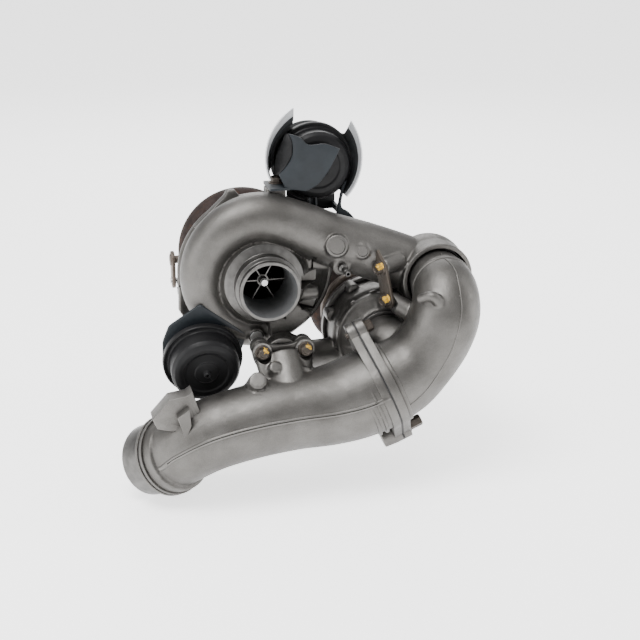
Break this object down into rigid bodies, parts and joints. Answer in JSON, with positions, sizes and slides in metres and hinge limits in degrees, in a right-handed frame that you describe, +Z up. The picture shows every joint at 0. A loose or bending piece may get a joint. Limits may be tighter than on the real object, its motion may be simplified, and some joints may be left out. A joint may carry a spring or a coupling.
{
  "type": "turbocharger",
  "caption": "Two-stage diesel turbocharger with parallel rotors, volute housings, charge air elbow and duct, and two can actuators working a wastegate and an exhaust flap.",
  "frame": {"origin": "middle of the exhaust manifold flange's face", "axes": "+X out of the manifold flange towards the engine, +Y along the rotors from compressor to turbine, +Z up"},
  "size_m": [0.3467, 0.3031, 0.3542],
  "materials": {
    "cast_aluminium": "sand cast, satin",
    "machined_aluminium": "turned and milled",
    "cast_iron": "heat-browned, rough",
    "dark_steel": "dull, slightly browned",
    "steel": "bright",
    "black_coating": "satin black",
    "bracket_coating": "dark blue-grey coat",
    "shield_sheet": "aluminised sheet",
    "bolt_bronze": "browned plating",
    "bearing_bronze": "turned bronze",
    "rubber": "matt black"
  },
  "bodies": {
    "casing": {"large_compressor_housing": "cast_aluminium", "large_bearing_housing": "cast_iron", "large_front_bearing": "bearing_bronze", "large_rear_bearing": "bearing_bronze", "large_turbine_housing": "cast_iron", "large_clamp_band": "dark_steel", "large_clamp_plate": "dark_steel", "large_clamp_screw_1": "dark_steel", "large_clamp_screw_2": "dark_steel", "small_compressor_housing": "cast_aluminium", "small_bearing_housing": "cast_iron", "small_front_bearing": "bearing_bronze", "small_rear_bearing": "bearing_bronze", "small_turbine_housing": "cast_iron", "small_clamp_band": "dark_steel", "crossover_pipe": "cast_iron", "charge_air_elbow": "cast_aluminium", "outlet_duct": "cast_aluminium", "duct_gasket": "rubber", "bypass_pin": "steel", "upper_joint_bolt": "bolt_bronze", "lower_joint_bolt": "bolt_bronze", "elbow_seal": "rubber", "spigot_seal": "rubber", "pad_bolt_1": "bolt_bronze", "pad_bolt_2": "bolt_bronze", "boost_nipple": "steel", "support_strap": "dark_steel", "strap_bolt_upper": "bolt_bronze", "strap_bolt_lower": "bolt_bronze", "wastegate_can_front": "black_coating", "wastegate_can_rear": "black_coating", "wastegate_return_spring": "dark_steel", "wastegate_bracket": "bracket_coating", "wastegate_bush": "bearing_bronze", "exhaust_flap_can_front": "black_coating", "exhaust_flap_can_rear": "black_coating", "exhaust_flap_return_spring": "dark_steel", "exhaust_flap_bush": "bearing_bronze", "saddle_bracket": "bracket_coating", "saddle_bracket_bolt": "bolt_bronze", "exhaust_flap_strut": "bracket_coating", "heat_shield": "shield_sheet"},
    "large_rotor": {"large_shaft": "dark_steel", "large_compressor_wheel": "machined_aluminium", "large_wheel_nut": "dark_steel", "large_turbine_wheel": "dark_steel"},
    "small_rotor": {"small_shaft": "dark_steel", "small_compressor_wheel": "machined_aluminium", "small_wheel_nut": "dark_steel", "small_turbine_wheel": "dark_steel"},
    "bypass_valve": {"bypass_flap": "dark_steel"},
    "wastegate_rod_body": {"wastegate_rod": "steel", "wastegate_diaphragm_plate": "steel"},
    "wastegate_valve": {"wastegate_crank": "dark_steel", "wastegate_flap": "dark_steel"},
    "exhaust_flap_rod_body": {"exhaust_flap_rod": "steel", "exhaust_flap_diaphragm_plate": "steel"},
    "exhaust_flap_valve": {"exhaust_flap_crank": "dark_steel", "exhaust_flap": "dark_steel"}
  },
  "joints": [
    {"name": "large_rotor_spin", "type": "hinge", "parent": "casing", "child": "large_rotor", "pos_m": [-0.185, -0.075, 0.055], "axis": [0, 1, 0], "continuous": true},
    {"name": "small_rotor_spin", "type": "hinge", "parent": "casing", "child": "small_rotor", "pos_m": [-0.068, -0.075, -0.011], "axis": [0, 1, 0], "continuous": true},
    {"name": "bypass_flap_swing", "type": "hinge", "parent": "casing", "child": "bypass_valve", "pos_m": [-0.09862, -0.172, -0.01479], "axis": [0, 1, 0], "range_deg": [0, 50], "stiffness_Nm_per_rad": 0.05, "springref_deg": -17.19},
    {"name": "wastegate_rod_slide", "type": "slide", "parent": "casing", "child": "wastegate_rod_body", "axis": [0, 0.9816, 0.1908], "range_m": [0, 0.01], "stiffness_N_per_m": 2000, "springref_m": -0.004, "deforming": ["wastegate_return_spring"]},
    {"name": "wastegate_flap_swing", "type": "hinge", "parent": "casing", "child": "wastegate_valve", "pos_m": [-0.215, 0.029, 0.037], "axis": [1, 0, 0], "range_deg": [0, 26.07]},
    {"name": "exhaust_flap_rod_slide", "type": "slide", "parent": "casing", "child": "exhaust_flap_rod_body", "axis": [0, 1, 0], "range_m": [0, 0.012], "stiffness_N_per_m": 2000, "springref_m": -0.004, "deforming": ["exhaust_flap_return_spring"]},
    {"name": "exhaust_flap_swing", "type": "hinge", "parent": "casing", "child": "exhaust_flap_valve", "pos_m": [-0.119, 0.039, 0.055], "axis": [0, 0, 1], "range_deg": [0, 43.27]}
  ],
  "couplings": [
    {"joint": "wastegate_flap_swing", "follows": "wastegate_rod_slide", "rad_per_m": 44.979},
    {"joint": "exhaust_flap_swing", "follows": "exhaust_flap_rod_slide", "rad_per_m": 62.5}
  ]
}
